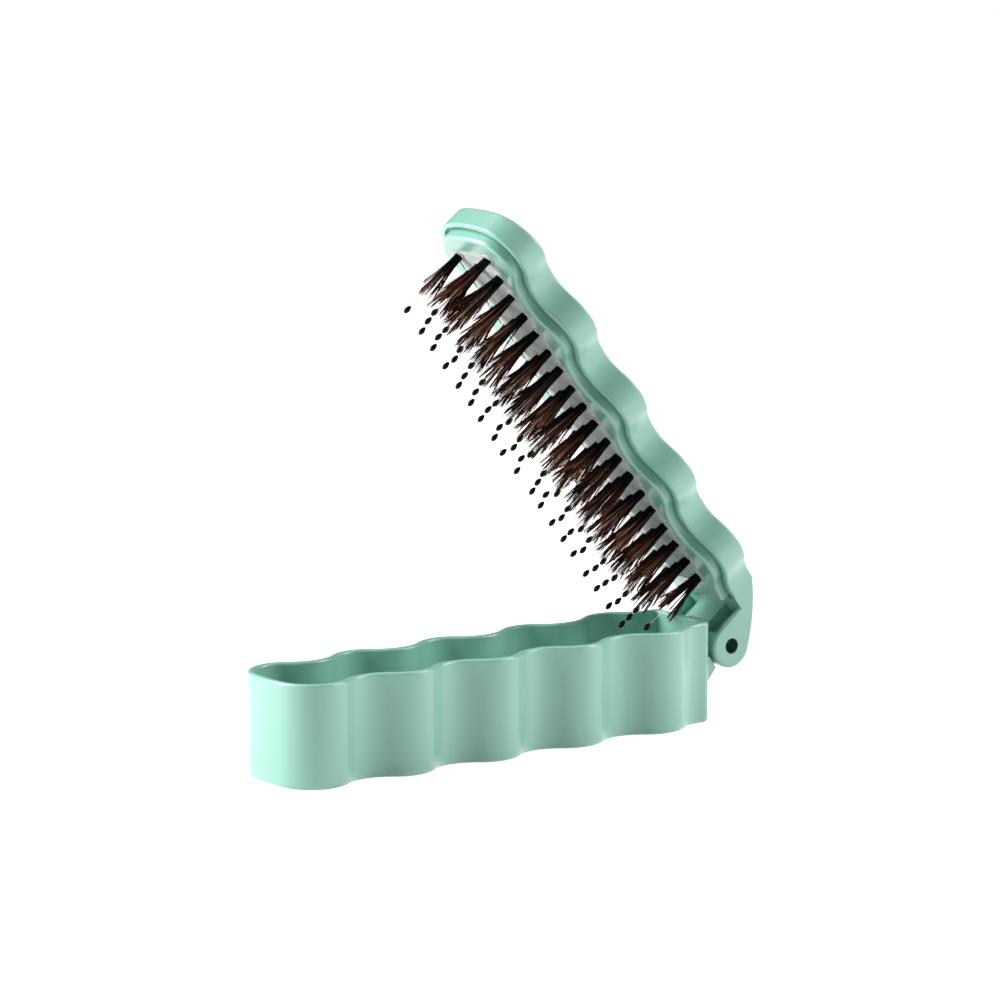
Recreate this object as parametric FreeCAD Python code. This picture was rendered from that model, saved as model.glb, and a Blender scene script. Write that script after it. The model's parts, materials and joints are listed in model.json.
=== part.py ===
"""Folding travel brush: a wavy trough that is both handle and case, and a brush head hinged to its end.

Frame: millimetres, +Z up, origin in the middle of the case's flat base, +X towards the hinge.
The head is built closed on the case, then turned about the hinge to the half-open rest position.
"""
import FreeCAD, Part
import math
import os

V = FreeCAD.Vector

# Case: the trough that the head folds into
case_length = 122.1
case_width = 29.5
case_height = 24.6
case_wall = 1.6
case_floor = 1.8
wave_count = 5
wave_depth = 4.2
tip_land = 8.8
end_radius = 38.0
corner_radius = 9.5
hinge_land = 3.5
end_corner_round = 2.2
well_corner_round = 1.0
rim_round = 0.7
base_round = 1.0
floor_round = 1.2

# Hinge: two ears of the head on either side of a knuckle of the case, on one steel pin
open_angle = 52.4
hinge_reach = 6.1
hinge_drop = 6.7
ear_radius = 5.4
ear_gap = 0.5
ear_thickness = 7.15
ear_cheek = 1.0
ear_inner_wall = 1.0
ear_hub_wall = 1.0
ear_pocket_drop = 1.0
nose_angle = 36.0
nose_land = 0.6
nose_round = 0.8
knuckle_radius = 4.05
knuckle_side_gap = 0.25
knuckle_turn_gap = 0.4
gusset_height = 3.2
neck_gap = 0.6
web_thickness = 1.5
stop_angle = 51.5
stop_gap = 0.8
stop_top_angle = 20.0
pin_radius = 1.8
pin_clearance = 0.05
pin_recess = 5.0

# Head: back shell, and the frame that plugs into the case's mouth
lid_gap = 1.0
shell_height = 7.5
shell_back = 1.8
tip_drop = 1.7
tip_drop_length = 23.0
back_round = 0.7
rim_edge_round = 0.6
groove_wall = 1.1
groove_depth = 1.1
plug_clearance = 0.35
frame_fit = 0.05
frame_depth = 2.4
frame_seat = 1.4
frame_round = 0.9
frame_end_setback = 1.6
frame_border = 1.0
frame_tip_border = 4.35
frame_hinge_border = 6.35
window_corner = 1.8

# Cushion pad, its backing plate and the shell's ribs that press on the plate
pad_recess = 0.3
pad_fit = 0.05
plate_thickness = 1.5
plate_overlap = 0.5
rib_thickness = 1.2
rib_spacing = 24.0

# Bristles: each tuft is held by a plug in the pad and has a nylon pin in its middle
tuft_pitch = 5.7
tuft_root_radius = 1.5
tuft_tip_radius = 1.9
tuft_seat = 0.5
bead_floor_gap = 1.6
pin_exposure = 6.0
tuft_margin = 0.3
tuft_end_margin = 1.8
hole_clearance = 0.05
bristle_pin_radius = 0.4
bristle_pin_clearance = 0.05
bead_radius = 0.65
bead_length = 2.3

# Places worked out from the sizes above
half_length = case_length / 2
half_width = case_width / 2
valley_half_width = half_width - wave_depth
wave_pitch = (case_length - tip_land - hinge_land) / (wave_count - 0.5)
wave_radius = ((wave_pitch / 2) ** 2 + wave_depth ** 2) / (4 * wave_depth)
first_crest_x = tip_land - half_length
last_valley_x = half_length - hinge_land
hollow_x = first_crest_x + wave_pitch / 2
hollow_y = valley_half_width + wave_radius
end_centre_x = end_radius - half_length
end_reach = end_radius - corner_radius
end_to_hollow = math.hypot(hollow_x - end_centre_x, hollow_y)
end_square = end_reach ** 2 + end_to_hollow ** 2 - (wave_radius + corner_radius) ** 2
end_corner_turn = math.acos(end_square / (2 * end_reach * end_to_hollow))
end_turn = math.atan2(hollow_y, hollow_x - end_centre_x) + end_corner_turn
corner_x = end_centre_x + end_reach * math.cos(end_turn)
corner_y = end_reach * math.sin(end_turn)
hollow_turn = math.atan2(hollow_y - corner_y, hollow_x - corner_x)

hinge_x = half_length + hinge_reach
hinge_z = case_height - hinge_drop
ear_inner_y = valley_half_width - ear_thickness
knuckle_half_width = ear_inner_y - knuckle_side_gap
ear_face_x = half_length + ear_gap
web_back_x = ear_face_x + web_thickness
web_reach = knuckle_radius + knuckle_turn_gap
web_bottom_z = hinge_z + math.sqrt(max(web_reach ** 2 - (hinge_x - web_back_x) ** 2, 0))

shell_rim_z = case_height + lid_gap
shell_top_z = shell_rim_z + shell_height
shell_ceiling_z = shell_top_z - shell_back
back_end_x = last_valley_x + nose_land

frame_inset = case_wall + plug_clearance
cavity_inset = frame_inset - frame_fit
frame_end_x = half_length - case_wall - frame_end_setback
frame_face_z = shell_rim_z - frame_depth
frame_top_z = shell_rim_z + frame_seat
window_half_width = valley_half_width - frame_inset - frame_border
window_start_x = frame_inset + frame_tip_border - half_length
window_end_x = frame_end_x - frame_hinge_border

pad_face_z = frame_face_z + pad_recess
plate_top_z = frame_top_z + plate_thickness
row_spacing = window_half_width - tuft_margin - tuft_root_radius
tuft_root_z = pad_face_z + tuft_seat
bead_tip_z = case_floor + bead_floor_gap
tuft_tip_z = bead_tip_z + pin_exposure
bead_low_z = bead_tip_z + bead_radius
bead_high_z = bead_tip_z + bead_length - bead_radius
bead_top_z = bead_high_z + math.sqrt(bead_radius ** 2 - bristle_pin_radius ** 2)

# How far a cut runs past what it cuts, and how near counts as the same place
cut_past = case_floor
same_place = case_wall / 1000


def box(low, high):
    size = V(*high) - V(*low)
    return Part.makeBox(size.x, size.y, size.z, V(*low))


def rod(radius, x, y, low_z, high_z):
    return Part.makeCylinder(radius, high_z - low_z, V(x, y, low_z))


def cross_rod(radius, half_width):
    """Cylinder on the hinge axis, across the brush."""
    return Part.makeCylinder(radius, 2 * half_width, V(hinge_x, -half_width, hinge_z), V(0, 1, 0))


def slab(edges, half_width):
    """Solid of an outline in the XZ plane, as wide as twice half_width across the brush."""
    face = Part.Face(Part.Wire(edges))
    face.translate(V(0, -half_width, 0))
    return face.extrude(V(0, 2 * half_width, 0))


def line(start, end):
    return Part.LineSegment(V(*start), V(*end)).toShape()


def arc(start, middle, end):
    return Part.Arc(V(*start), V(*middle), V(*end)).toShape()


def on_circle(x, y, radius, turn, side):
    """Point of a circle round (x, y), on one side of the brush."""
    return (x + radius * math.cos(turn), side * (y + radius * math.sin(turn)), 0)


def wavy_side(inset, side, end_x):
    """Edges of one long side: half the round tip, then hollows and crests of one radius as far as end_x."""
    crest_y = half_width - wave_radius
    share = (wave_radius - inset) / (2 * wave_radius)
    joint_y = side * (crest_y + share * (hollow_y - crest_y))
    valley_y = side * (valley_half_width - inset)
    bend = corner_radius - inset
    tip = (inset - half_length, 0, 0)
    tip_side = on_circle(end_centre_x, 0, end_radius - inset, (math.pi + end_turn) / 2, side)
    shoulder = on_circle(corner_x, corner_y, bend, end_turn, side)
    crown = on_circle(corner_x, corner_y, bend, (end_turn + hollow_turn) / 2, side)
    here = on_circle(corner_x, corner_y, bend, hollow_turn, side)
    edges = [arc(tip, tip_side, shoulder), arc(shoulder, crown, here)]
    for index in range(1, wave_count):
        crest_x = first_crest_x + index * wave_pitch
        rise = (crest_x - share * wave_pitch / 2, joint_y, 0)
        fall = (crest_x + share * wave_pitch / 2, joint_y, 0)
        edges.append(arc(here, (crest_x - wave_pitch / 2, valley_y, 0), rise))
        edges.append(arc(rise, (crest_x, side * (half_width - inset), 0), fall))
        here = fall
    hollow_radius = wave_radius + inset
    half_turn = math.asin((last_valley_x - here[0]) / hollow_radius) / 2
    middle = (last_valley_x - hollow_radius * math.sin(half_turn),
              side * (hollow_y - hollow_radius * math.cos(half_turn)), 0)
    apex = (last_valley_x, valley_y, 0)
    edges.append(arc(here, middle, apex))
    edges.append(line(apex, (end_x, valley_y, 0)))
    return edges


def wavy_block(inset, end_x, low_z, high_z, end_round=0):
    """Solid with the brush's wavy outline, set in by inset all round, with rounded corners at end_x."""
    side_y = valley_half_width - inset
    end_line = line((end_x, -side_y, 0), (end_x, side_y, 0))
    edges = wavy_side(inset, -1, end_x) + wavy_side(inset, 1, end_x) + [end_line]
    outline = Part.Wire(Part.__sortEdges__(edges))
    outline.translate(V(0, 0, low_z))
    solid = Part.Face(outline).extrude(V(0, 0, high_z - low_z))
    if not end_round:
        return solid
    corners = [edge for edge in solid.Edges if is_upright(edge) and edge.BoundBox.XMin > end_x - same_place]
    return solid.makeFillet(end_round, corners)


def is_upright(edge):
    first, last = edge.Vertexes[0].Point, edge.Vertexes[-1].Point
    return abs(first.x - last.x) + abs(first.y - last.y) < same_place


def edges_at(solid, level_z):
    """Edges that lie wholly at one height."""
    return [edge for edge in solid.Edges
            if abs(edge.BoundBox.ZMin - level_z) + abs(edge.BoundBox.ZMax - level_z) < same_place]


def make_case():
    body = wavy_block(0, half_length, 0, case_height, end_corner_round)
    body = body.makeFillet(base_round, edges_at(body, 0))
    well_end_x = half_length - case_wall
    hollow = wavy_block(case_wall, well_end_x, case_floor, case_height + cut_past, well_corner_round)
    hollow = hollow.makeFillet(floor_round, edges_at(hollow, case_floor))
    body = body.cut(hollow)
    body = body.makeFillet(rim_round, edges_at(body, case_height))
    body = body.fuse([make_gusset(), make_stop(), cross_rod(knuckle_radius, knuckle_half_width)])
    return body.cut(cross_rod(pin_radius, knuckle_half_width + cut_past)).removeSplitter()


def make_gusset():
    """Neck between the end wall and the knuckle, with its underside tangent to the knuckle."""
    root_x = half_length - case_wall / 2
    reach_x = hinge_x - root_x
    reach_z = hinge_z - gusset_height
    distance = math.hypot(reach_x, reach_z)
    aim = math.atan2(reach_z, reach_x) - math.asin(knuckle_radius / distance)
    run = math.sqrt(distance ** 2 - knuckle_radius ** 2)
    root = (root_x, 0, gusset_height)
    touch = (root_x + run * math.cos(aim), 0, gusset_height + run * math.sin(aim))
    neck_top_z = web_bottom_z - neck_gap
    corners = [root, touch, (hinge_x, 0, hinge_z), (hinge_x, 0, neck_top_z), (root_x, 0, neck_top_z)]
    return slab([line(a, b) for a, b in zip(corners, corners[1:] + corners[:1])], knuckle_half_width)


def below_hinge(reach, lean):
    """Point at a distance from the hinge's axis, lean below level on the case's side."""
    return (hinge_x - reach * math.cos(lean), 0, hinge_z - reach * math.sin(lean))


def make_stop():
    """Cradle across the end wall, hollow under the ears; its lower face points at the hinge's axis."""
    lean = math.radians(stop_angle)
    top_lean = math.radians(stop_top_angle)
    reach = ear_radius + stop_gap
    root_x = half_length - case_wall / 2
    corner = below_hinge(reach, lean)
    middle = below_hinge(reach, (lean + top_lean) / 2)
    top = below_hinge(reach, top_lean)
    foot = (root_x, 0, hinge_z - (hinge_x - root_x) * math.tan(lean))
    top_root = (root_x, 0, top[2])
    return slab([line(foot, corner), arc(corner, middle, top), line(top, top_root), line(top_root, foot)],
                valley_half_width - end_corner_round / 2)


def make_ears():
    """Hinge end of the shell: a block with a sloping nose that reaches round the pin."""
    lean = math.radians(nose_angle)
    back_end = V(back_end_x, 0, shell_top_z)
    ear_start = V(hinge_x + ear_radius * math.cos(lean), 0, hinge_z + ear_radius * math.sin(lean))
    inward = V(-math.cos(lean), 0, -math.sin(lean))
    chord = back_end - ear_start
    nose_radius = chord.Length ** 2 / (2 * inward.dot(chord))
    nose_centre = ear_start + inward * nose_radius
    outward = (ear_start - nose_centre) + (back_end - nose_centre)
    nose_middle = nose_centre + outward.normalize() * nose_radius
    ear_bottom = V(hinge_x, 0, hinge_z - ear_radius)
    inner_top = V(ear_face_x, 0, shell_rim_z)
    reach = math.hypot(hinge_x - ear_face_x, shell_rim_z - hinge_z)
    touch = math.atan2(shell_rim_z - hinge_z, ear_face_x - hinge_x) + math.acos(ear_radius / reach)
    ear_end = V(hinge_x + ear_radius * math.cos(touch), 0, hinge_z + ear_radius * math.sin(touch))
    back_foot = V(back_end_x, 0, shell_rim_z)
    return slab([arc(back_end, nose_middle, ear_start), arc(ear_start, ear_bottom, ear_end),
                 line(ear_end, inner_top), line(inner_top, back_foot), line(back_foot, back_end)],
                valley_half_width)


def ear_cuts():
    """Room for the knuckle between the ears, and the pockets that core out the ears."""
    far_x = hinge_x + 2 * ear_radius
    low_z = hinge_z - 2 * ear_radius
    pocket_x = hinge_x - pin_radius - pin_clearance - ear_hub_wall
    pocket_low_z = hinge_z - ear_pocket_drop
    pocket_inner_y = ear_inner_y + ear_inner_wall
    pocket_outer_y = valley_half_width - ear_cheek
    return [box((web_back_x, -ear_inner_y, low_z), (far_x, ear_inner_y, shell_top_z + cut_past)),
            box((half_length, -ear_inner_y, low_z), (far_x, ear_inner_y, web_bottom_z)),
            box((half_length, -pocket_outer_y, pocket_low_z), (pocket_x, -pocket_inner_y, shell_rim_z)),
            box((half_length, pocket_inner_y, pocket_low_z), (pocket_x, pocket_outer_y, shell_rim_z))]


def under_back(level_z):
    """All the room under a back that is level as far as its round drop to the tip."""
    low_z = shell_rim_z - 2 * cut_past
    drop_radius = (tip_drop_length ** 2 + tip_drop ** 2) / (2 * tip_drop)
    drop_turn = math.asin((tip_drop_length + cut_past) / drop_radius)
    drop_start_x = tip_drop_length - half_length

    def on_drop(turn):
        return (drop_start_x - drop_radius * math.sin(turn), 0, level_z - drop_radius * (1 - math.cos(turn)))

    start, end = on_drop(0), on_drop(drop_turn)
    corners = [end, (end[0], 0, low_z), (half_length, 0, low_z), (half_length, 0, level_z), start]
    edges = [line(a, b) for a, b in zip(corners, corners[1:])]
    return slab(edges + [arc(start, on_drop(drop_turn / 2), end)], half_width + cut_past)


def make_shell():
    body = wavy_block(0, back_end_x, shell_rim_z, shell_top_z + cut_past).common(under_back(shell_top_z))
    rim = [edge for edge in edges_at(body, shell_rim_z) if edge.BoundBox.XMin < back_end_x - same_place]
    body = body.makeFillet(rim_edge_round, rim)
    body = body.fuse(make_ears()).removeSplitter()
    crease = [edge for edge in edges_at(body, shell_top_z)
              if edge.BoundBox.XMin > back_end_x - same_place and edge.BoundBox.YLength > ear_inner_y]
    body = body.makeFillet(nose_round, crease)
    back = [edge for edge in body.Edges if runs_round_the_back(edge)]
    body = body.makeFillet(back_round, back)
    cavity = wavy_block(cavity_inset, frame_end_x + frame_fit, shell_rim_z - cut_past, shell_top_z)
    cavity = cavity.common(under_back(shell_ceiling_z))
    groove_end_x = frame_end_x + frame_inset - groove_wall
    groove = wavy_block(groove_wall, groove_end_x, shell_rim_z - cut_past, shell_rim_z + groove_depth)
    bore = cross_rod(pin_radius + pin_clearance, valley_half_width + cut_past)
    body = body.cut([cavity, groove, bore] + ear_cuts())
    return body.fuse(make_ribs()).removeSplitter()


def runs_round_the_back(edge):
    """True for the outer edges of the back and of the nose, down to the ears."""
    room = edge.BoundBox
    if room.ZMin < hinge_z or room.ZMax < shell_rim_z + 2 * rim_edge_round:
        return False
    across = room.XLength < same_place
    on_back = room.ZMin > shell_top_z - tip_drop - same_place and room.XMin < back_end_x - same_place
    on_nose = room.XMax > back_end_x - same_place and room.YLength < same_place and not is_upright(edge)
    on_side = abs(abs(room.YMin) - valley_half_width) < same_place
    return (on_back and not across) or (on_nose and on_side)


def make_ribs():
    """Cross ribs inside the shell that press the backing plate onto the frame."""
    ribs = []
    rib_half_width = valley_half_width - frame_inset
    count = int((window_end_x - window_start_x) / rib_spacing)
    first_x = (window_start_x + window_end_x - (count - 1) * rib_spacing - rib_thickness) / 2
    for index in range(count):
        x = first_x + index * rib_spacing
        low = (x, -rib_half_width, plate_top_z)
        high = (x + rib_thickness, rib_half_width, shell_ceiling_z)
        ribs.append(box(low, high))
    return ribs


def window_block(grow, low_z, high_z):
    """Solid of the frame's window, larger all round by grow."""
    low = (window_start_x - grow, -window_half_width - grow, low_z)
    high = (window_end_x + grow, window_half_width + grow, high_z)
    solid = box(low, high)
    return solid.makeFillet(window_corner + grow, [edge for edge in solid.Edges if is_upright(edge)])


def make_frame():
    body = wavy_block(frame_inset, frame_end_x, frame_face_z, frame_top_z)
    body = body.makeFillet(frame_round, edges_at(body, frame_face_z))
    return body.cut(window_block(0, frame_face_z - cut_past, frame_top_z + cut_past))


def tuft_places():
    """Centres of the tufts, by row; the middle row stands half a pitch further along."""
    rows = {}
    for index, name in enumerate(("near", "middle", "far")):
        first_x = window_start_x + tuft_end_margin + index % 2 * tuft_pitch / 2
        count = int((window_end_x - tuft_end_margin - first_x) / tuft_pitch) + 1
        y = (index - 1) * row_spacing
        rows[name] = [(first_x + step * tuft_pitch, y) for step in range(count)]
    return rows


def make_pad(rows):
    body = window_block(-pad_fit, pad_face_z, frame_top_z)
    hole_radius = tuft_root_radius + hole_clearance
    holes = [rod(hole_radius, x, y, pad_face_z - cut_past, frame_top_z + cut_past)
             for row in rows.values() for x, y in row]
    return body.cut(holes)


def make_plug(x, y):
    return rod(tuft_root_radius, x, y, tuft_root_z, frame_top_z)


def make_tuft(x, y):
    height = tuft_root_z - tuft_tip_z
    cone = Part.makeCone(tuft_tip_radius, tuft_root_radius, height, V(x, y, tuft_tip_z))
    bore_radius = bristle_pin_radius + bristle_pin_clearance
    return cone.cut(rod(bore_radius, x, y, tuft_tip_z - cut_past, tuft_root_z + cut_past))


def make_bristle_pin(x, y):
    return rod(bristle_pin_radius, x, y, bead_top_z, tuft_root_z)


def make_bead(x, y):
    """Round-ended tip, flat where the pin enters it."""
    half_neck = math.acos(bristle_pin_radius / bead_radius) / 2
    slant = bead_radius * math.sqrt(0.5)
    top = (0, 0, bead_top_z)
    neck = (bristle_pin_radius, 0, bead_top_z)
    shoulder = (bead_radius * math.cos(half_neck), 0, bead_high_z + bead_radius * math.sin(half_neck))
    high = (bead_radius, 0, bead_high_z)
    low = (bead_radius, 0, bead_low_z)
    chin = (slant, 0, bead_low_z - slant)
    tip = (0, 0, bead_tip_z)
    outline = Part.Wire([line(top, neck), arc(neck, shoulder, high), line(high, low), arc(low, chin, tip),
                         line(tip, top)])
    solid = Part.Face(outline).revolve(V(0, 0, 0), V(0, 0, 1), 360)
    solid.translate(V(x, y, 0))
    return solid


def opened(shape):
    """The shape turned with the head from closed to the rest position."""
    shape.rotate(V(hinge_x, 0, hinge_z), V(0, 1, 0), open_angle)
    return shape


def main():
    rows = tuft_places()
    plate = window_block(plate_overlap, frame_top_z, plate_top_z)
    parts = {
        "handle_case": make_case(),
        "hinge_pin": cross_rod(pin_radius, valley_half_width - pin_recess),
        "head_shell": opened(make_shell()),
        "bristle_frame": opened(make_frame()),
        "cushion_pad": opened(make_pad(rows)),
        "pad_backing_plate": opened(plate),
    }
    makers = {"tuft_plugs": make_plug, "bristle_tufts": make_tuft,
              "bristle_pins": make_bristle_pin, "pin_beads": make_bead}
    for kind, maker in makers.items():
        for row, places in rows.items():
            parts[f"{kind}_{row}_row"] = opened(Part.makeCompound([maker(x, y) for x, y in places]))
    os.makedirs("parts", exist_ok=True)
    for name, shape in parts.items():
        print(name, len(shape.Solids), shape.isValid(), round(shape.Volume, 1))
        shape.exportStep(f"parts/{name}.step")


main()
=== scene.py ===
"""Folding travel brush in its studio: plastics, rubber pad, bristles, steel pin, floor, light and camera."""
import json
import math
import random

import bpy
from mathutils import Matrix, Vector


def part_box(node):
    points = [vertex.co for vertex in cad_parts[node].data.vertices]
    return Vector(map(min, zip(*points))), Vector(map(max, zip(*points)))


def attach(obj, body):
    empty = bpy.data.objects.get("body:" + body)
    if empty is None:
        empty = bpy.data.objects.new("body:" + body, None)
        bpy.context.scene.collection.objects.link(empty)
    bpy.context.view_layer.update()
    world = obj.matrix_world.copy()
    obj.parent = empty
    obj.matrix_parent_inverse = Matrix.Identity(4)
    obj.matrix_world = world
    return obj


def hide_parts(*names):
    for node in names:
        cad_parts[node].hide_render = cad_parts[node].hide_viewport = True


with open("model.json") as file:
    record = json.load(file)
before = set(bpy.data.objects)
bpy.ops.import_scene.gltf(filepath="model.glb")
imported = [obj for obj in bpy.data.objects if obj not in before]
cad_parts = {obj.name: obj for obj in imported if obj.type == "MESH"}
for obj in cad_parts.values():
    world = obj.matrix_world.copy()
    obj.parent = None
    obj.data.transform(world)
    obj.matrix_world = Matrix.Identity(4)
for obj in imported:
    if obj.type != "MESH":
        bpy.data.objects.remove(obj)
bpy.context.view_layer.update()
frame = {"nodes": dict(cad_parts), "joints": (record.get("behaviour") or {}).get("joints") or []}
bpy.ops.object.select_all(action="DESELECT")


# The case: a wavy trough with a flat base, moulded in one piece from satin mint plastic.
# It is the handle when the brush is open and the box for the bristles when it is shut.
# Its walls keep the mould's fine grain, and its base and rim are rubbed by tables and hands.
mint_light = (0.25, 0.53, 0.435, 1)
mint_deep = (0.235, 0.51, 0.415, 1)
rubbed_mint = (0.30, 0.585, 0.49, 1)
mint_cloud_scale = 30.0
mint_cloud_edges = (0.35, 0.65)
mould_grain_scale = 2600.0
mould_grain_detail = 3.0
mould_grain_strength = 0.12
mould_grain_depth = 0.00004
smear_scale = 180.0
smear_detail = 6.0
smear_edges = (0.45, 0.75)
even_rub = 0.4
patchy_rub = 0.5
rub_reach = 0.0007
mint_roughness = 0.36
smear_roughness = 0.10
rub_polish = 0.08
plastic_ior = 1.5
satin_coat_roughness = 0.3


class Shade:
    """A socket in one material's nodes. Arithmetic on it adds Math nodes."""

    def __init__(self, tree, socket=None):
        self.tree = tree
        self.socket = socket

    def node(self, kind, settings=None, inputs=None, output=0):
        made = self.tree.nodes.new(kind)
        for name, value in (settings or {}).items():
            setattr(made, name, value)
        for name, value in (inputs or {}).items():
            self.feed(made.inputs[name], value)
        return Shade(self.tree, made.outputs[output])

    def feed(self, target, value):
        if isinstance(value, Shade):
            self.tree.links.new(value.socket, target)
        else:
            target.default_value = value

    def math(self, operation, first, second=0.0):
        return self.node("ShaderNodeMath", {"operation": operation}, {0: first, 1: second})

    def __add__(self, other):
        return self.math("ADD", self, other)

    def __radd__(self, other):
        return self.math("ADD", other, self)

    def __sub__(self, other):
        return self.math("SUBTRACT", self, other)

    def __rsub__(self, other):
        return self.math("SUBTRACT", other, self)

    def __mul__(self, other):
        return self.math("MULTIPLY", self, other)

    def __rmul__(self, other):
        return self.math("MULTIPLY", other, self)

    def place(self):
        return self.node("ShaderNodeTexCoord", output="Object")

    def along(self, axis):
        return self.node("ShaderNodeSeparateXYZ", {}, {0: self}, axis)

    def rise(self, start, end):
        """0 before start, 1 past end and a straight rise between them."""
        settings = {"clamp": True}
        inputs = {"Value": self, "From Min": start, "From Max": end}
        return self.node("ShaderNodeMapRange", settings, inputs)

    def noise(self, place, scale, detail=2.0):
        return self.node("ShaderNodeTexNoise", {}, {"Vector": place, "Scale": scale, "Detail": detail})

    def mix(self, share, first, second):
        """Two colours mixed. The Mix node tells its sockets for colours apart by number only."""
        first_socket, second_socket, mixed_socket = 6, 7, 2
        inputs = {"Factor": share, first_socket: first, second_socket: second}
        return self.node("ShaderNodeMix", {"data_type": "RGBA"}, inputs, mixed_socket)

    def bump(self, height, strength, distance):
        inputs = {"Height": height, "Strength": strength, "Distance": distance}
        return self.node("ShaderNodeBump", {}, inputs)


def new_material(name):
    """An empty finish: the material, its Shade, and the sockets of its Principled shader."""
    material = bpy.data.materials.new(name)
    material.use_nodes = True
    shader = material.node_tree.nodes["Principled BSDF"]
    return material, Shade(material.node_tree), shader.inputs


def mint_plastic(name, rubbed_heights, squaring=None, shade_paint=None):
    """Satin mint plastic, rubbed paler and smoother between pairs of heights.

    squaring turns the places on the head's pieces to where they are square to the axes,
    and the last argument paints shade over the colour.
    """
    material, paint, surface = new_material(name)
    place = paint.place()
    if squaring:
        turn = {"Vector": place, "Location": squaring.translation, "Rotation": squaring.to_euler()}
        place = paint.node("ShaderNodeMapping", {}, turn)
    height = place.along("Z")
    cloud = paint.noise(place, mint_cloud_scale)
    grain = paint.noise(place, mould_grain_scale, mould_grain_detail)
    smear = paint.noise(place, smear_scale, smear_detail)
    rubbed = smear.rise(*smear_edges) * patchy_rub
    worn = 0.0
    for start, end in rubbed_heights:
        worn = height.rise(start, end) * (even_rub + rubbed) + worn
    body = paint.mix(cloud.rise(*mint_cloud_edges), mint_deep, mint_light)
    colour = paint.mix(worn, body, rubbed_mint)
    if shade_paint:
        colour = shade_paint(paint, colour)
    paint.feed(surface["Base Color"], colour)
    paint.feed(surface["Roughness"], mint_roughness + smear_roughness * smear - rub_polish * worn)
    paint.feed(surface["Normal"], paint.bump(grain, mould_grain_strength, mould_grain_depth))
    surface["IOR"].default_value = plastic_ior
    surface["Coat Weight"].default_value = 1.0
    surface["Coat Roughness"].default_value = satin_coat_roughness
    surface["Coat IOR"].default_value = plastic_ior
    return material


case_low, case_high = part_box("handle_case")
base_rub = (case_low.z + 2 * rub_reach, case_low.z + rub_reach / 2)
rim_rub = (case_high.z - rub_reach, case_high.z)
frame["nodes"]["handle_case"].data.materials[0] = mint_plastic("satin_mint_case", [base_rub, rim_rub])


# The head's back shell: the same plastic, hollow, with a nose that carries the two hinge ears.
# The head's pieces are given in the shut position, where they are square to the axes,
# and turned about the hinge to where the imported head stands. Shade is painted dark green into the ears'
# holes.
# The painted shade in the ears' holes: its dark green, how far it reaches from the hinge's axis and how it
# fades.
hole_shade_mint = (0.03, 0.13, 0.10, 1)
ear_hole_reach = 0.0019
hole_shade_fade = 1.05
fold_joint = frame["joints"][0]
hinge = Vector(fold_joint["pos_m"])
open_turn = math.radians(-fold_joint["range_deg"][0])
opened = Matrix.Translation(hinge) @ Matrix.Rotation(open_turn, 4, "Y") @ Matrix.Translation(-hinge)
shut = opened.inverted()


def shut_box(node):
    """Lowest and highest corner of one of the head's nodes with the brush shut."""
    points = [shut @ vertex.co for vertex in frame["nodes"][node].data.vertices]
    low = Vector([min(point[axis] for point in points) for axis in range(3)])
    high = Vector([max(point[axis] for point in points) for axis in range(3)])
    return low, high


def ear_hole_painted_shade(paint, colour):
    """Painted shade: darkens what lies within the ears' holes, round the hinge's axis."""
    place = paint.place()
    off_x = place.along("X") - hinge.x
    off_z = place.along("Z") - hinge.z
    distance = paint.math("SQRT", off_x * off_x + off_z * off_z)
    shaded = distance.rise(hole_shade_fade * ear_hole_reach, ear_hole_reach)
    return paint.mix(shaded, colour, hole_shade_mint)


shell_top = shut_box("head_shell")[1].z
shell_rubs = [(shell_top - rub_reach, shell_top)]
# The shell's finish carries the painted shade in the ears' holes.
shell_finish = mint_plastic("satin_mint_shell", shell_rubs, shut, ear_hole_painted_shade)
frame["nodes"]["head_shell"].data.materials[0] = shell_finish


# The bristle frame: a mint ring that holds the pad and plugs into the case's mouth.
# It is pressed into the shell's hollow, and its face rubs on the case's rim.
frame_face = shut_box("bristle_frame")[0].z
frame_rubs = [(frame_face + rub_reach, frame_face)]
frame["nodes"]["bristle_frame"].data.materials[0] = mint_plastic("satin_mint_frame", frame_rubs, shut)


# The cushion pad: soft grey rubber, clamped by its edge and crowned where it bulges out of the frame.
# Each tuft comes out through a hole that it stretches, so the rubber stands up in a low lip round it.
rubber_grey = (0.56, 0.60, 0.57, 1)
rubber_dust = (0.66, 0.70, 0.67, 1)
pad_corner = 0.00175
pad_corner_steps = 6
pad_edge_insets = ((0.0003, 0.00014), (0.0005, 0.00012), (0.0006, 0.00006))
pad_crown = sum(swell for inset, swell in pad_edge_insets)
sharpest_pad_edge = math.radians(50)
lip_radius = 0.0017
lip_height = 0.00022
lip_width = lip_radius / 4
lip_sides = 20
lip_edge_steps = 3
pore_scale = 3000.0
pore_detail = 4.0
pore_strength = 0.25
pore_depth = 0.00005
dust_scale = 350.0
dust_detail = 5.0
dust_edges = (0.4, 0.7)
rubber_roughness = 0.62
dust_roughness = 0.2
tuft_pitch = 0.0057
row_names = ("near", "middle", "far")
pad_low, pad_high = shut_box("cushion_pad")


def pick(piece, kind, test):
    """Selects the vertices, edges or faces of a piece that pass a test, and goes into edit mode."""
    bpy.ops.object.mode_set(mode="EDIT")
    bpy.ops.mesh.select_mode(type=kind)
    bpy.ops.mesh.select_all(action="DESELECT")
    bpy.ops.object.mode_set(mode="OBJECT")
    elements = {"VERT": piece.data.vertices, "EDGE": piece.data.edges, "FACE": piece.data.polygons}[kind]
    for element in elements:
        element.select = test(element)
    bpy.ops.object.mode_set(mode="EDIT")


def is_upright(piece, edge):
    first, last = [piece.data.vertices[index].co for index in edge.vertices]
    return abs(first.z - last.z) > (first.xy - last.xy).length


def faces_down(face):
    nearly_straight = 0.9
    return face.normal.z < -nearly_straight


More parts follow.
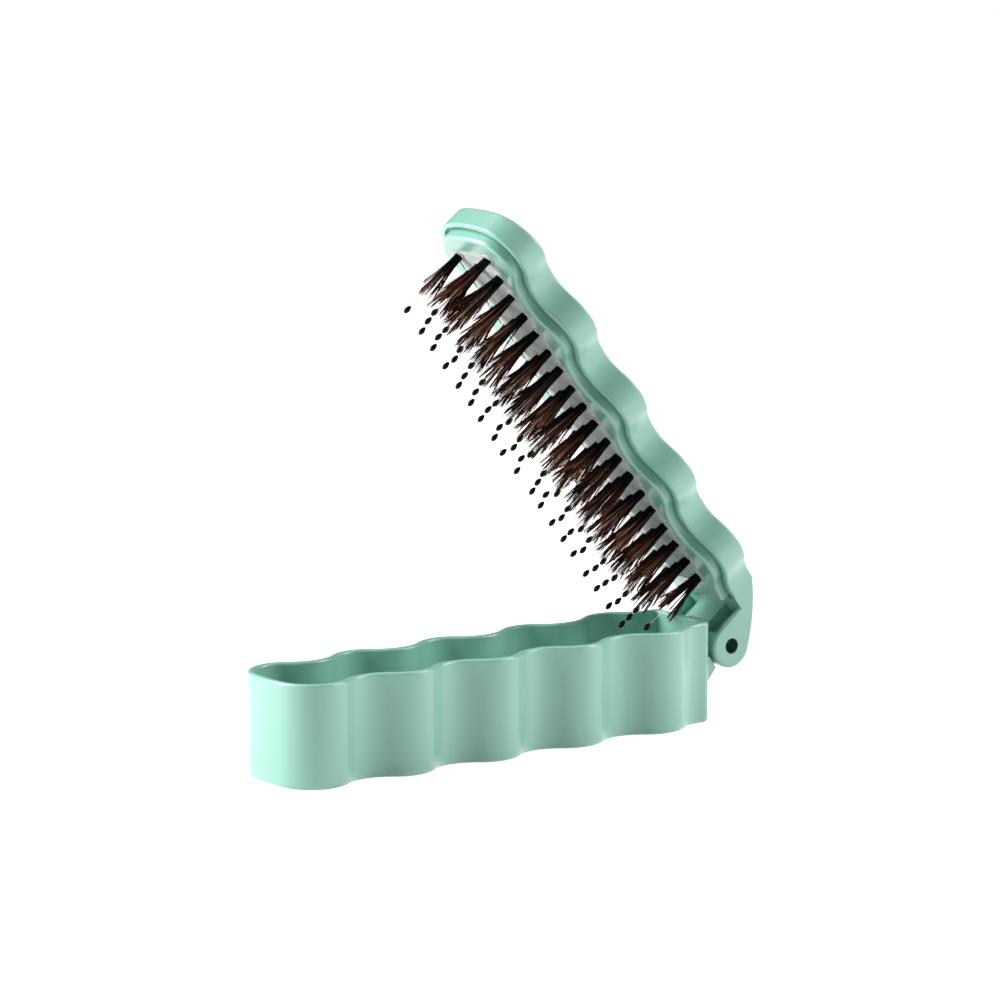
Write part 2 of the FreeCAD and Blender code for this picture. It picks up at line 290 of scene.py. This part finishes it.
def tuft_places(row):
    """Middles of one row's tufts on the shut head, read from the row's pins."""
    low, high = shut_box(f"bristle_pins_{row}_row")
    radius = (high.y - low.y) / 2
    count = round((high.x - low.x - 2 * radius) / tuft_pitch) + 1
    first_x = low.x + radius
    return [Vector((first_x + step * tuft_pitch, (low.y + high.y) / 2, pad_low.z)) for step in range(count)]


def copy_at(piece, matrix):
    """A copy of a piece, with its own mesh, moved by a matrix."""
    copy = piece.copy()
    copy.data = piece.data.copy()
    copy.data.transform(matrix)
    bpy.context.scene.collection.objects.link(copy)
    return copy


def join(pieces, name):
    """One piece made of several, by name."""
    bpy.ops.object.select_all(action="DESELECT")
    for piece in pieces:
        piece.select_set(True)
    bpy.context.view_layer.objects.active = pieces[0]
    bpy.ops.object.join()
    joined = bpy.context.object
    joined.name = name
    return joined


def give_finish(piece, finish):
    piece.data.materials.clear()
    piece.data.materials.append(finish)


bpy.ops.mesh.primitive_cube_add(size=1, location=(pad_low + pad_high) / 2, scale=pad_high - pad_low)
pad = bpy.context.object
bpy.ops.object.transform_apply(location=True, rotation=True, scale=True)
pick(pad, "EDGE", lambda edge: is_upright(pad, edge))
bpy.ops.mesh.bevel(offset=pad_corner, segments=pad_corner_steps, affect="EDGES")
bpy.ops.object.mode_set(mode="OBJECT")
pick(pad, "FACE", faces_down)
for inset, swell in pad_edge_insets:
    bpy.ops.mesh.inset(thickness=inset, depth=0)
    bpy.ops.transform.translate(value=(0, 0, -swell))
bpy.ops.object.mode_set(mode="OBJECT")

bpy.ops.object.select_all(action="DESELECT")
bpy.ops.mesh.primitive_cylinder_add(vertices=lip_sides, radius=lip_radius, depth=2 * lip_height)
lip = bpy.context.object
pick(lip, "FACE", faces_down)
bpy.ops.mesh.inset(thickness=lip_width, depth=0)
bpy.ops.mesh.bevel(offset=lip_height / 2, segments=lip_edge_steps, affect="EDGES")
bpy.ops.object.mode_set(mode="OBJECT")
lip_places = [place - Vector((0, 0, pad_crown)) for row in row_names for place in tuft_places(row)]
lips = [copy_at(lip, Matrix.Translation(place)) for place in lip_places]
bpy.data.objects.remove(lip)
pad = join([pad] + lips, "rubber_cushion_pad")
bpy.ops.object.shade_smooth_by_angle(angle=sharpest_pad_edge)
pad.data.transform(opened)

rubber, paint, surface = new_material("matt_grey_rubber")
place = paint.place()
pores = paint.noise(place, pore_scale, pore_detail)
dust = paint.noise(place, dust_scale, dust_detail)
paint.feed(surface["Base Color"], paint.mix(dust.rise(*dust_edges), rubber_grey, rubber_dust))
paint.feed(surface["Roughness"], rubber_roughness + dust_roughness * dust)
paint.feed(surface["Normal"], paint.bump(pores, pore_strength, pore_depth))
give_finish(pad, rubber)
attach(pad, "head")
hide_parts("cushion_pad")


# The tufts: bundles of stiff natural bristle, held by plugs in the pad's holes and trimmed roughly level.
# They leave the pad as a tight round bundle, spread towards their tips and clump into pointed locks.
# Each leans its own way with its pin, mostly to the tip in the near row and to the hinge in the far row.
bristle_black = (0.002, 0.0015, 0.0012, 1)
bristle_brown = (0.014, 0.006, 0.004, 1)
bristle_auburn = (0.170, 0.046, 0.022, 1)
bristle_pale = (0.46, 0.30, 0.20, 1)
brown_along = (0.30, 0.70)
auburn_along = (0.30, 0.75)
auburn_tints = (0.40, 0.75)
pale_along = (0.40, 0.90)
pale_tints = (0.72, 0.92)
streak_scale = 900.0
bristle_roughness = 0.30
streak_roughness = 0.25
bristle_specular = 0.10
hair_length = 0.0145
hair_root_radius = 0.00013
hair_tip_radius = 0.00006
hair_sides = 3
hair_cuts = 5
hair_bows = (0.0001, 0.0003, 0.0005, 0.0008, 0.0012)
bow_share = 0.6
bowed_past = 0.99 * hair_length
tuft_kinds = 7
locks_per_tuft = 18
hairs_per_lock = 6
root_spread = 0.00122
tip_spread = Vector((0.0032, 0.0020))
fan_share = 0.9
stray_share = 0.2
lock_root_spread = 0.0004
lock_tip_spread = 0.00024
shortest_lock = 0.80
shortest_in_lock = 0.86
shade_share = 0.7
usual_lean = math.radians(1.6)
usual_side_lean = usual_lean / 3
row_leans = {"near": math.radians(1.8), "middle": 0.0, "far": math.radians(-1.8)}
usual_bow_turn = math.radians(12)
most_tuft_turn = 0.25
straight_down = Vector((0, 0, -1))
dice = random.Random(11)


def tapered_rod(sides, tip_radius, root_radius, length, cuts):
    """A rod that hangs from the origin, thinner at its tip, with cuts across it."""
    bpy.ops.object.select_all(action="DESELECT")
    bpy.ops.mesh.primitive_cone_add(vertices=sides, radius1=tip_radius, radius2=root_radius,
                                    depth=length, location=(0, 0, -length / 2))
    rod = bpy.context.object
    bpy.ops.object.transform_apply(location=True, rotation=True, scale=True)
    pick(rod, "EDGE", lambda edge: is_upright(rod, edge))
    bpy.ops.mesh.subdivide(number_cuts=cuts)
    bpy.ops.object.mode_set(mode="OBJECT")
    return rod


straight_hair = tapered_rod(hair_sides, hair_tip_radius, hair_root_radius, hair_length, hair_cuts)
along = straight_hair.data.attributes.new("along", "FLOAT", "POINT")
for vertex in straight_hair.data.vertices:
    along.data[vertex.index].value = -vertex.co.z / hair_length

bowed_hairs = []
for bow in hair_bows:
    bowed = copy_at(straight_hair, Matrix.Identity(4))
    bpy.ops.object.select_all(action="DESELECT")
    bowed.select_set(True)
    bpy.context.view_layer.objects.active = bowed
    pick(bowed, "VERT", lambda vertex: vertex.co.z < -bowed_past)
    bpy.ops.transform.translate(value=(bow, 0, 0), use_proportional_edit=True,
                                proportional_edit_falloff="SHARP", proportional_size=hair_length)
    bpy.ops.object.mode_set(mode="OBJECT")
    bowed_hairs.append(bowed)
bpy.data.objects.remove(straight_hair)


def point_in_disc():
    angle = dice.uniform(0, 2 * math.pi)
    reach = math.sqrt(dice.random())
    return Vector((reach * math.cos(angle), reach * math.sin(angle)))


def make_lock():
    """Hairs that start near one root and run together into one pointed tip."""
    root = point_in_disc()
    tip = (fan_share * root + stray_share * point_in_disc()) * tip_spread
    length = hair_length * dice.uniform(shortest_lock, 1)
    shade = dice.random()
    hairs = []
    for _ in range(hairs_per_lock):
        start = (root * (root_spread - lock_root_spread) + point_in_disc() * lock_root_spread).to_3d()
        end = (tip + point_in_disc() * lock_tip_spread).to_3d()
        spread = (end - start).to_2d()
        bow = min(hair_bows, key=lambda choice: abs(choice - bow_share * spread.length))
        end -= (bow * spread.normalized()).to_3d()
        end.z = -length * dice.uniform(shortest_in_lock, 1)
        lean = straight_down.rotation_difference(end - start).to_matrix().to_4x4()
        turn = Matrix.Rotation(math.atan2(spread.y, spread.x) + dice.gauss(0, usual_bow_turn), 4, "Z")
        stretch = Matrix.Diagonal((1, 1, -end.z / hair_length, 1))
        bowed = bowed_hairs[hair_bows.index(bow)]
        hair = copy_at(bowed, Matrix.Translation(start) @ lean @ turn @ stretch)
        tint = hair.data.attributes.new("tint", "FLOAT", "POINT")
        own_shade = shade_share * shade + (1 - shade_share) * dice.random()
        tint.data.foreach_set("value", [own_shade] * len(hair.data.vertices))
        hairs.append(hair)
    return hairs


tufts = []
for kind in range(tuft_kinds):
    tuft_hairs = [hair for _ in range(locks_per_tuft) for hair in make_lock()]
    tufts.append(join(tuft_hairs, f"tuft_{kind}"))
for bowed in bowed_hairs:
    bpy.data.objects.remove(bowed)

bristle, paint, surface = new_material("natural_bristle")
reach = paint.node("ShaderNodeAttribute", {"attribute_name": "along"}, output="Fac")
tint = paint.node("ShaderNodeAttribute", {"attribute_name": "tint"}, output="Fac")
streak = paint.noise(paint.place(), streak_scale)
body = paint.mix(reach.rise(*brown_along), bristle_black, bristle_brown)
red = paint.mix(reach.rise(*auburn_along) * tint.rise(*auburn_tints), body, bristle_auburn)
pale = reach.rise(*pale_along) * tint.rise(*pale_tints)
paint.feed(surface["Base Color"], paint.mix(pale, red, bristle_pale))
paint.feed(surface["Roughness"], bristle_roughness + streak_roughness * streak)
surface["Specular IOR Level"].default_value = bristle_specular


def random_lean(row_lean):
    sideways = Matrix.Rotation(dice.gauss(0, usual_side_lean), 4, "X")
    return sideways @ Matrix.Rotation(dice.gauss(row_lean, usual_lean), 4, "Y")


stands = {}
for row, row_lean in row_leans.items():
    stands[row] = [opened @ Matrix.Translation(place) @ random_lean(row_lean) for place in tuft_places(row)]
    bundles = []
    for stand in stands[row]:
        half_turn = dice.choice((0, math.pi))
        turn = Matrix.Rotation(half_turn + dice.uniform(-most_tuft_turn, most_tuft_turn), 4, "Z")
        bundles.append(copy_at(dice.choice(tufts), stand @ turn))
    tuft_row = join(bundles, f"bristle_bundles_{row}_row")
    give_finish(tuft_row, bristle)
    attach(tuft_row, "head")
    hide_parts(f"bristle_tufts_{row}_row")
for tuft in tufts:
    bpy.data.objects.remove(tuft)


# The nylon pins and their beads: each tuft has a clear stiff pin in its middle, longer than the hair,
# with an olive-shaped black tip dipped onto it so that it doesn't scratch.
nylon_clear = (0.93, 0.93, 0.92, 1)
nylon_warm = (0.89, 0.87, 0.85, 1)
haze_scale = 500.0
haze_detail = 3.0
nylon_roughness = 0.10
haze_roughness = 0.1
nylon_clearness = 0.9
nylon_ior = 1.12
bead_black = (0.002, 0.002, 0.002, 1)
bead_worn = (0.008, 0.007, 0.007, 1)
scratch_scale = 1500.0
scratch_detail = 4.0
scratch_edges = (0.5, 0.8)
lacquer_roughness = 0.15
scratch_roughness = 0.2
lacquer_specular = 0.12
pin_root_radius = 0.00020
pin_neck_radius = 0.00014
pin_sides = 8
pin_cuts = 2
sharpest_pin_edge = math.radians(60)
bead_radius = 0.00065
bead_length = 0.0023
bead_sides = 12
bead_rings = 8
bead_squeeze = 0.90
squeezed_above = 0.15 * bead_length
bead_reach = pad_low.z - shut_box("pin_beads_near_row")[0].z
pin_length = bead_reach - bead_length / 2

nylon_pin = tapered_rod(pin_sides, pin_neck_radius, pin_root_radius, pin_length, pin_cuts)
bpy.ops.object.shade_smooth_by_angle(angle=sharpest_pin_edge)

bpy.ops.object.select_all(action="DESELECT")
bpy.ops.mesh.primitive_uv_sphere_add(segments=bead_sides, ring_count=bead_rings, radius=bead_radius)
bead = bpy.context.object
pick(bead, "VERT", lambda vertex: True)
bpy.ops.transform.resize(value=(1, 1, bead_length / 2 / bead_radius))
bpy.ops.object.mode_set(mode="OBJECT")
pick(bead, "VERT", lambda vertex: vertex.co.z > squeezed_above)
bpy.ops.transform.resize(value=(bead_squeeze, bead_squeeze, 1))
bpy.ops.mesh.select_all(action="SELECT")
bpy.ops.transform.translate(value=(0, 0, bead_length / 2 - bead_reach))
bpy.ops.object.mode_set(mode="OBJECT")
bpy.ops.object.shade_smooth()

nylon, paint, surface = new_material("pale_nylon")
haze = paint.noise(paint.place(), haze_scale, haze_detail)
paint.feed(surface["Base Color"], paint.mix(haze, nylon_clear, nylon_warm))
paint.feed(surface["Roughness"], nylon_roughness + haze_roughness * haze)
surface["Transmission Weight"].default_value = nylon_clearness
surface["IOR"].default_value = nylon_ior

lacquer, paint, surface = new_material("black_bead_lacquer")
scratch = paint.noise(paint.place(), scratch_scale, scratch_detail)
paint.feed(surface["Base Color"], paint.mix(scratch.rise(*scratch_edges), bead_black, bead_worn))
paint.feed(surface["Roughness"], lacquer_roughness + scratch_roughness * scratch)
surface["Specular IOR Level"].default_value = lacquer_specular

for row in row_names:
    for piece, name, node, finish, slot in (
            (nylon_pin, "nylon_pins", "bristle_pins", nylon, "pale_nylon"),
            (bead, "black_tips", "pin_beads", lacquer, "black_bead")):
        row_piece = join([copy_at(piece, stand) for stand in stands[row]], f"{name}_{row}_row")
        give_finish(row_piece, finish)
        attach(row_piece, "head")
        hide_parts(f"{node}_{row}_row")
bpy.data.objects.remove(nylon_pin)
bpy.data.objects.remove(bead)


# The tuft plugs and the backing plate: plain white mouldings inside the head that hold the tufts' roots.
# They don't show on the finished brush, but they are there when it is taken apart.
plain_white = (0.74, 0.74, 0.72, 1)
plain_shade = (0.66, 0.66, 0.63, 1)
flow_scale = 200.0
flow_detail = 3.0
moulding_roughness = 0.45
flow_roughness = 0.2

moulding, paint, surface = new_material("plain_white_moulding")
flow = paint.noise(paint.place(), flow_scale, flow_detail)
paint.feed(surface["Base Color"], paint.mix(flow, plain_white, plain_shade))
paint.feed(surface["Roughness"], moulding_roughness + flow_roughness * flow)
frame["nodes"]["pad_backing_plate"].data.materials[0] = moulding
for row in row_names:
    frame["nodes"][f"tuft_plugs_{row}_row"].data.materials[0] = moulding


# The hinge pin: a plain rod of drawn steel, with the die's fine lines along it.
# It is pressed into the case's knuckle, and the ears turn on its ends, which are sunk in their holes.
steel_bright = (0.62, 0.62, 0.63, 1)
steel_dull = (0.42, 0.42, 0.42, 1)
drawn_out = (1, 0.05, 1)
line_scale = 4000.0
line_detail = 3.0
steel_roughness = 0.25
line_roughness = 0.25

steel, paint, surface = new_material("drawn_steel")
drawn = paint.node("ShaderNodeMapping", {}, {"Vector": paint.place(), "Scale": drawn_out})
lines = paint.noise(drawn, line_scale, line_detail)
paint.feed(surface["Base Color"], paint.mix(lines, steel_bright, steel_dull))
paint.feed(surface["Roughness"], steel_roughness + line_roughness * lines)
surface["Metallic"].default_value = 1.0
frame["nodes"]["hinge_pin"].data.materials[0] = steel


# The studio: a pale floor that goes on past the picture, a dim white sky and four wide soft lamps.
# Two lamps stand on the left of the picture and two on the right, one of each pair high, so that the
# brush's tip end and its right-hand slopes are bright and what faces the camera stays darker.
floor_size = 14.0
floor_white = (0.70, 0.70, 0.70, 1)
floor_roughness = 0.9
floor_glow = 0.86
glow_unseen = (0, 0, 0, 1)
glow_seen = (1, 1, 1, 1)
lamp_size = 0.5
lamps = (
    (Vector((-0.78, 0.46, 0.42)), 11.4),
    (Vector((-0.52, 0.30, 0.80)), 4.6),
    (Vector((0.78, -0.60, 0.40)), 6.2),
    (Vector((0.55, -0.25, 0.80)), 2.2))
sky_white = (1, 1, 1, 1)
sky_strength = 0.18

bpy.ops.object.select_all(action="DESELECT")
bpy.ops.mesh.primitive_plane_add(size=floor_size)
floor = bpy.context.object
floor.name = "studio_floor"
floor_paint, paint, surface = new_material("pale_floor")
seen = paint.node("ShaderNodeLightPath", output="Is Camera Ray")
for kind in ("Is Glossy Ray", "Is Transmission Ray"):
    seen = paint.math("MAXIMUM", seen, paint.node("ShaderNodeLightPath", output=kind))
paint.feed(surface["Emission Color"], paint.mix(seen, glow_unseen, glow_seen))
surface["Emission Strength"].default_value = floor_glow
surface["Base Color"].default_value = floor_white
surface["Roughness"].default_value = floor_roughness
surface["Specular IOR Level"].default_value = 0.0
give_finish(floor, floor_paint)

for place, power in lamps:
    bpy.ops.object.light_add(type="AREA", location=place)
    lamp = bpy.context.object
    lamp.data.size = lamp_size
    lamp.data.energy = power
    lamp.rotation_euler = (-place).to_track_quat("-Z", "Y").to_euler()

world = bpy.data.worlds.new("white_sky")
world.use_nodes = True
bpy.context.scene.world = world
sky = world.node_tree.nodes["Background"].inputs
sky["Color"].default_value = sky_white
sky["Strength"].default_value = sky_strength


# The camera stands low off the case's tip end, with a long lens that hardly shrinks the far end.
# It is moved up and aside without turning, so the case lies low in the picture under the raised head.
view_azimuth = math.radians(-36.395)
view_elevation = math.radians(10.204)
view_distance = 1.1888
view_reach = 4 * floor_size
lens_mm = 182.2
sensor_mm = 36.0
view_middle = Vector((0.00105, 0, 0.014))
moved_right = 0.00368
moved_up = 0.04442

camera_data = bpy.data.cameras.new("portrait_lens")
camera_data.lens = lens_mm
camera_data.sensor_width = sensor_mm
camera_data.clip_end = view_reach
camera = bpy.data.objects.new("portrait_camera", camera_data)
bpy.context.scene.collection.objects.link(camera)
camera.rotation_euler = (math.pi / 2 - view_elevation, 0, view_azimuth)
camera_stand = camera.rotation_euler.to_matrix() @ Vector((moved_right, moved_up, view_distance))
camera.location = view_middle + camera_stand
bpy.context.scene.camera = camera
bpy.context.scene.view_settings.view_transform = "Standard"
